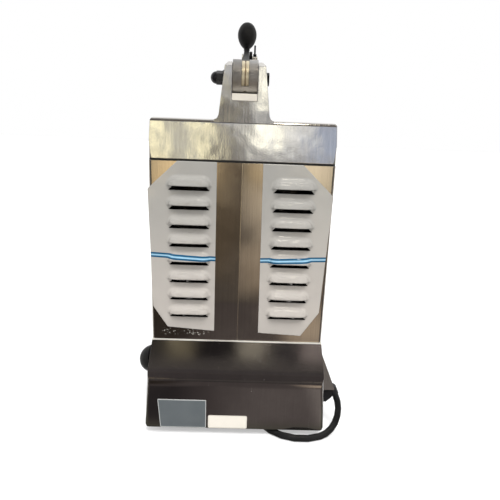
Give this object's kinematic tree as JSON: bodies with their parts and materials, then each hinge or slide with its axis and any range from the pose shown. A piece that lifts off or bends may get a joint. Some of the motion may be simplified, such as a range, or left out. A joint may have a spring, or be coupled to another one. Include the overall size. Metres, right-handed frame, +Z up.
{
  "type": "commercial vegetable slicer",
  "caption": "Counter-top vegetable slicer: louvred stainless column on a flared base, hinged cast head with a fork, pusher lever and half-moon hopper over a belt-driven disc",
  "frame": {"origin": "middle of the footprint on the table, without the cord", "axes": "+Z up, the louvred back faces -Y, +X to the right seen from behind"},
  "size_m": [0.3041, 0.5096, 0.6084],
  "materials": {
    "stainless": "polished stainless sheet with a fine brushed grain",
    "steel": "plain steel",
    "dark_steel": "blackened steel",
    "cast_aluminium": "polished casting",
    "bearing_steel": "ground steel",
    "blade_steel": "ground blade steel",
    "screws": "plated steel",
    "black_plastic": "moulded black plastic",
    "knob_black": "matte black with a fine grain",
    "white_plastic": "food-safe white plastic",
    "green_plastic": "glossy green button",
    "motor_paint": "dark grey paint",
    "rubber": "black rubber",
    "cord": "black cord jacket",
    "pin_brass": "bright brass"
  },
  "bodies": {
    "root": {"base_casing": "stainless", "base_plate": "steel", "feet": "rubber", "foot_screws": "screws", "column_casing": "stainless", "rear_panel": "stainless", "casing_screws": "screws", "chamber_bowl": "cast_aluminium", "bowl_screws": "screws", "bearings": "bearing_steel", "shaft_seal": "rubber", "drive_belt": "rubber", "motor_body": "motor_paint", "motor_plate": "steel", "motor_bolts": "screws", "discharge_chute": "stainless", "chute_screws": "screws", "hinge_brackets": "steel", "hinge_pin": "screws", "bracket_screws": "screws", "switch_block": "black_plastic", "button_collars": "screws", "cord_hood": "stainless", "cable_gland": "black_plastic", "cord_lead": "cord", "cord_coil": "cord", "cord_tie": "black_plastic", "cord_plug": "cord", "plug_pins": "pin_brass"},
    "cover": {"cover_head": "cast_aluminium", "lift_knob": "black_plastic", "pivot_bolt": "dark_steel", "pivot_nut": "dark_steel"},
    "lever": {"lever_hub": "cast_aluminium", "hub_screw": "dark_steel", "lever_bar": "steel", "lever_knob": "knob_black", "pusher_hanger": "dark_steel", "hanger_pin": "screws", "pin_clip": "dark_steel", "pusher_plate": "cast_aluminium"},
    "disc": {"drive_shaft": "bearing_steel", "slicing_disc": "cast_aluminium", "disc_blades": "blade_steel", "blade_screws": "screws", "disc_nut": "bearing_steel", "ejector_plate": "white_plastic", "driven_pulley": "cast_aluminium"},
    "motor_rotor": {"motor_shaft": "bearing_steel", "motor_pulley": "cast_aluminium", "motor_fan": "black_plastic"},
    "stop_button": {"stop_button": "black_plastic"},
    "start_button": {"start_button": "green_plastic"}
  },
  "joints": [
    {"name": "cover_hinge", "type": "hinge", "parent": "root", "child": "cover", "pos_m": [-0.13, 0.029, 0.383], "axis": [0, -1, 0], "range_deg": [0, 95]},
    {"name": "lever_hinge", "type": "hinge", "parent": "cover", "child": "lever", "pos_m": [0, -0.128, 0.4847], "axis": [1, 0, 0], "range_deg": [0, 70]},
    {"name": "disc_spin", "type": "hinge", "parent": "root", "child": "disc", "pos_m": [0, 0.029, 0.306], "axis": [0, 0, 1], "continuous": true},
    {"name": "motor_spin", "type": "hinge", "parent": "root", "child": "motor_rotor", "pos_m": [0, -0.062, 0.15], "axis": [0, 0, 1], "continuous": true},
    {"name": "stop_press", "type": "slide", "parent": "root", "child": "stop_button", "axis": [1, 0, 0], "range_m": [0, 0.003], "stiffness_N_per_m": 600},
    {"name": "start_press", "type": "slide", "parent": "root", "child": "start_button", "axis": [1, 0, 0], "range_m": [0, 0.003], "stiffness_N_per_m": 600}
  ],
  "couplings": [
    {"joint": "motor_spin", "follows": "disc_spin", "ratio": 2.5}
  ]
}
